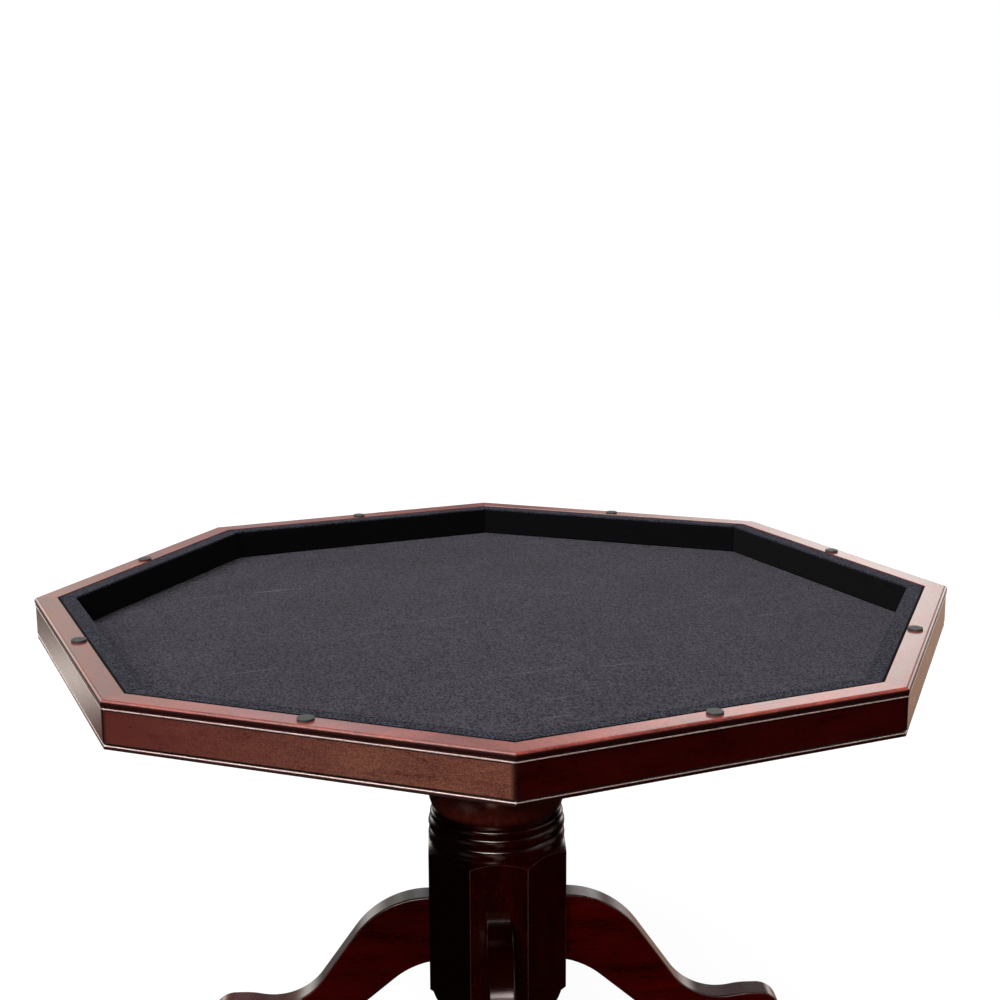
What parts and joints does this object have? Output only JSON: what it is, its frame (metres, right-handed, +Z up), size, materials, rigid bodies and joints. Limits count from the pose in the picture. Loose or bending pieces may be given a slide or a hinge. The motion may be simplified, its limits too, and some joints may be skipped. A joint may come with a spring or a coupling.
{
  "type": "gaming table",
  "caption": "Octagonal pedestal gaming table base: felt-lined sunken playing well, moulded wood rim with rest pads for a loose top, turned column, S-shaped legs, screw levelling feet.",
  "frame": {"origin": "on the floor, under the axis of the pedestal column", "axes": "+Z up; -Y towards the front corner of the octagonal top and the front leg; +X towards the right corner and the right leg"},
  "size_m": [1.322, 1.322, 0.701],
  "materials": {
    "rim_wood": "satin-gloss lacquered cherry-red hardwood, moulded rim",
    "apron_wood": "gloss lacquered dark cherry-red hardwood with fine grain",
    "column_wood": "gloss lacquered very dark cherry-red turned hardwood",
    "leg_wood": "gloss lacquered very dark cherry-red hardwood",
    "liner_felt": "charcoal felt over a wooden board",
    "playing_felt": "charcoal felt, glued flat",
    "deck_panel": "plain stained plywood",
    "frame_wood": "plain stained hardwood",
    "bumper_rubber": "matt dark grey felted rubber pad",
    "screw_steel": "yellow zinc-plated wood screws",
    "zinc_steel": "bright zinc-plated steel",
    "insert_brass": "plain brass",
    "foot_plastic": "black moulded nylon"
  },
  "bodies": {
    "table": {"cap_rail_1": "rim_wood", "apron_1": "apron_wood", "felt_rail_1": "liner_felt", "rest_pad_1": "bumper_rubber", "cap_rail_2": "rim_wood", "apron_2": "apron_wood", "felt_rail_2": "liner_felt", "rest_pad_2": "bumper_rubber", "cap_rail_3": "rim_wood", "apron_3": "apron_wood", "felt_rail_3": "liner_felt", "rest_pad_3": "bumper_rubber", "cap_rail_4": "rim_wood", "apron_4": "apron_wood", "felt_rail_4": "liner_felt", "rest_pad_4": "bumper_rubber", "cap_rail_5": "rim_wood", "apron_5": "apron_wood", "felt_rail_5": "liner_felt", "rest_pad_5": "bumper_rubber", "cap_rail_6": "rim_wood", "apron_6": "apron_wood", "felt_rail_6": "liner_felt", "rest_pad_6": "bumper_rubber", "cap_rail_7": "rim_wood", "apron_7": "apron_wood", "felt_rail_7": "liner_felt", "rest_pad_7": "bumper_rubber", "cap_rail_8": "rim_wood", "apron_8": "apron_wood", "felt_rail_8": "liner_felt", "rest_pad_8": "bumper_rubber", "deck_board": "deck_panel", "play_cloth": "playing_felt", "deck_screws": "screw_steel", "cross_beam_side": "frame_wood", "cross_beam_front": "frame_wood", "mounting_plate": "frame_wood", "beam_screws": "screw_steel", "plate_screws": "screw_steel", "lag_bolts": "zinc_steel", "lag_washers": "zinc_steel", "pedestal_column": "column_wood", "column_plug": "frame_wood", "leg_bolts": "zinc_steel", "leg_washers": "zinc_steel", "leg_inserts": "insert_brass", "leveller_nuts": "zinc_steel", "leg_front": "leg_wood", "leg_right": "leg_wood", "leg_back": "leg_wood", "leg_left": "leg_wood"},
    "foot_front": {"leveller_foot_front": "foot_plastic"},
    "stud_front": {"leveller_stud_front": "zinc_steel"},
    "foot_right": {"leveller_foot_right": "foot_plastic"},
    "stud_right": {"leveller_stud_right": "zinc_steel"},
    "foot_back": {"leveller_foot_back": "foot_plastic"},
    "stud_back": {"leveller_stud_back": "zinc_steel"},
    "foot_left": {"leveller_foot_left": "foot_plastic"},
    "stud_left": {"leveller_stud_left": "zinc_steel"}
  },
  "joints": [
    {"name": "level_height_front", "type": "slide", "parent": "table", "child": "foot_front", "axis": [0, 0, -1], "range_m": [0, 0.012]},
    {"name": "level_screw_front", "type": "hinge", "parent": "foot_front", "child": "stud_front", "pos_m": [0, -0.384, 0.02], "axis": [0, 0, -1], "range_deg": [0, 3456]},
    {"name": "level_height_right", "type": "slide", "parent": "table", "child": "foot_right", "axis": [0, 0, -1], "range_m": [0, 0.012]},
    {"name": "level_screw_right", "type": "hinge", "parent": "foot_right", "child": "stud_right", "pos_m": [0.384, 0, 0.02], "axis": [0, 0, -1], "range_deg": [0, 3456]},
    {"name": "level_height_back", "type": "slide", "parent": "table", "child": "foot_back", "axis": [0, 0, -1], "range_m": [0, 0.012]},
    {"name": "level_screw_back", "type": "hinge", "parent": "foot_back", "child": "stud_back", "pos_m": [0, 0.384, 0.02], "axis": [0, 0, -1], "range_deg": [0, 3456]},
    {"name": "level_height_left", "type": "slide", "parent": "table", "child": "foot_left", "axis": [0, 0, -1], "range_m": [0, 0.012]},
    {"name": "level_screw_left", "type": "hinge", "parent": "foot_left", "child": "stud_left", "pos_m": [-0.384, 0, 0.02], "axis": [0, 0, -1], "range_deg": [0, 3456]}
  ],
  "couplings": [
    {"joint": "level_height_front", "follows": "level_screw_front", "m_per_rad": 0.00019894},
    {"joint": "level_height_right", "follows": "level_screw_right", "m_per_rad": 0.00019894},
    {"joint": "level_height_back", "follows": "level_screw_back", "m_per_rad": 0.00019894},
    {"joint": "level_height_left", "follows": "level_screw_left", "m_per_rad": 0.00019894}
  ]
}
